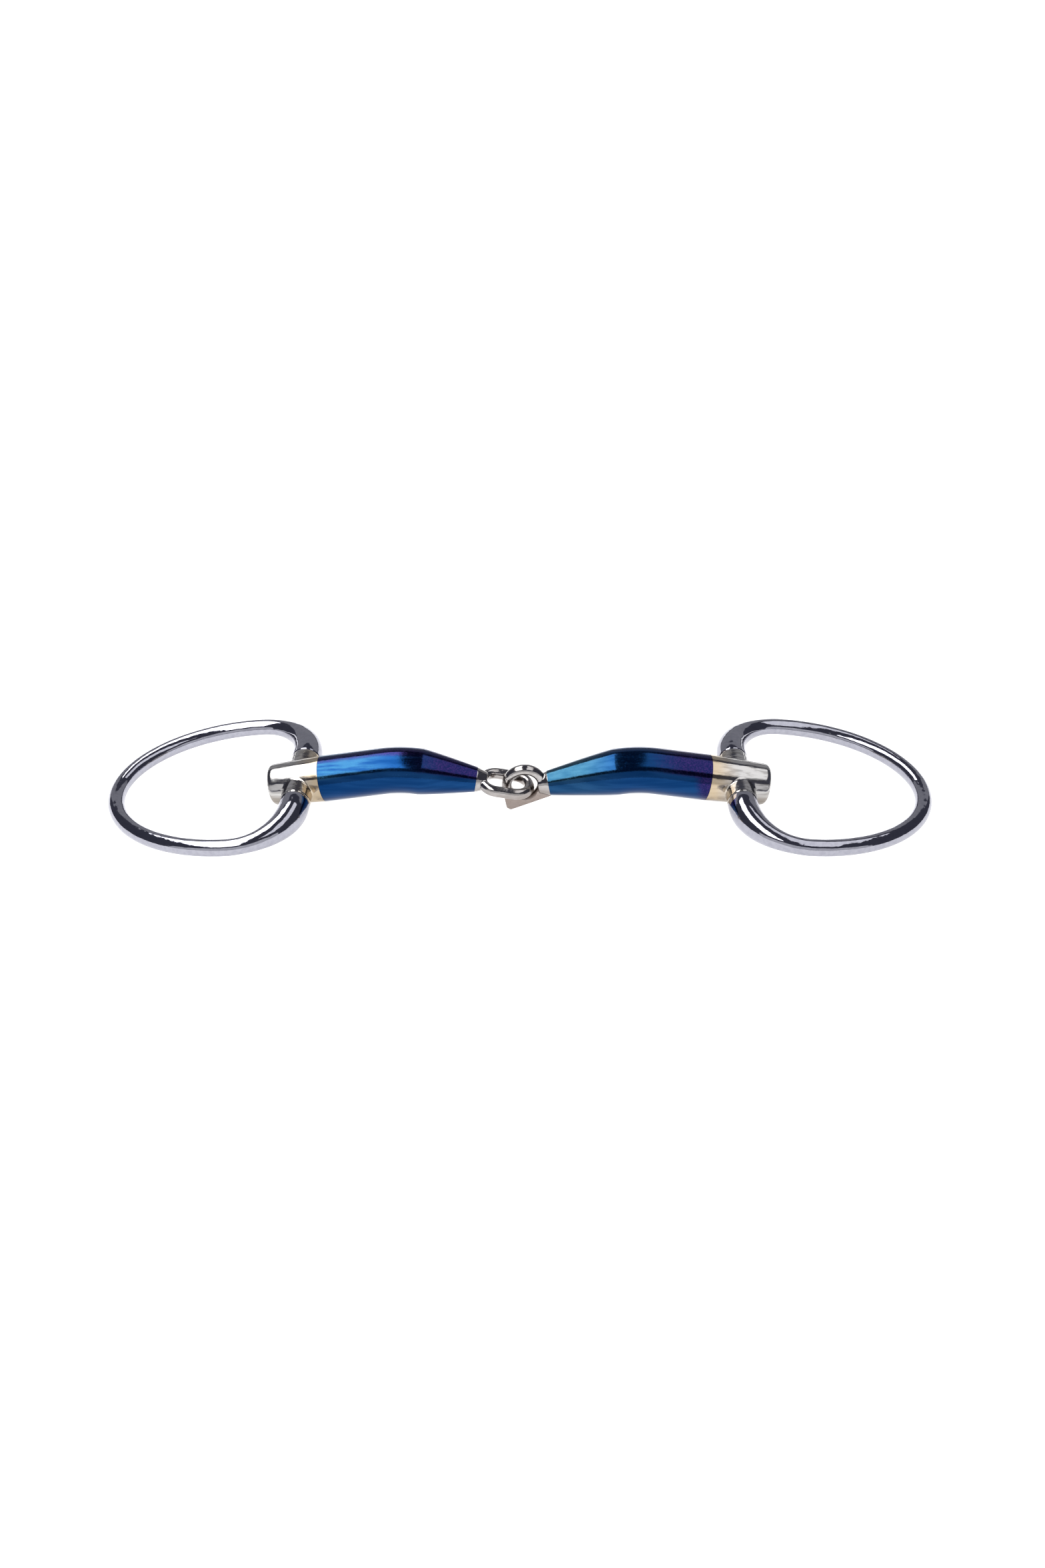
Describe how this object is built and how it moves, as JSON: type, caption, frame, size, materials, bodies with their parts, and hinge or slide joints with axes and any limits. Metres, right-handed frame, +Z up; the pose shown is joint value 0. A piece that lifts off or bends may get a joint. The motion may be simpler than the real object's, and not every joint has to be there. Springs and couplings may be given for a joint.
{
  "type": "eggbutt snaffle bit",
  "caption": "Single-jointed eggbutt snaffle bit: blued cannons, bright barrels and D-oval cheek rings that hinge on pins, lying flat.",
  "frame": {"origin": "middle of the bit's bounding box, on the surface that it lies on", "axes": "+X along the bit from the left cheek to the right one, +Y along the hinge pins away from the near side, +Z up"},
  "size_m": [0.2864, 0.0754, 0.0225],
  "materials": {
    "cheek_steel": "mirror-polished stainless steel",
    "pin_steel": "ground stainless steel, hidden in the hinge",
    "barrel_steel": "polished stainless steel with fine lengthwise lines and a straw heat tint towards the cannon",
    "blued_iron": "polished sweet iron, heat-blued from violet to deep blue",
    "eye_steel": "polished stainless steel with a faint warm heat tint"
  },
  "bodies": {
    "left_arm": {"left_barrel": "barrel_steel", "left_cannon": "blued_iron", "left_joint_eye": "eye_steel"},
    "right_arm": {"right_joint_eye": "eye_steel", "right_cannon": "blued_iron", "right_barrel": "barrel_steel"},
    "left_cheek": {"left_cheek_ring": "cheek_steel", "left_hinge_pin": "pin_steel"},
    "right_cheek": {"right_cheek_ring": "cheek_steel", "right_hinge_pin": "pin_steel"}
  },
  "joints": [
    {"name": "centre_fold", "type": "hinge", "parent": "left_arm", "child": "right_arm", "pos_m": [0.0036, -0.00364, 0.0083], "axis": [0.0366, 0.9993, 0], "range_deg": [-50, 50]},
    {"name": "left_cheek_swing", "type": "hinge", "parent": "left_arm", "child": "left_cheek", "pos_m": [-0.0757, -0.00073, 0.00865], "axis": [0.0366, 0.9993, 0], "range_deg": [-150, 150]},
    {"name": "right_cheek_swing", "type": "hinge", "parent": "right_arm", "child": "right_cheek", "pos_m": [0.0757, -0.00073, 0.00865], "axis": [-0.0366, 0.9993, 0], "range_deg": [-150, 150]}
  ]
}
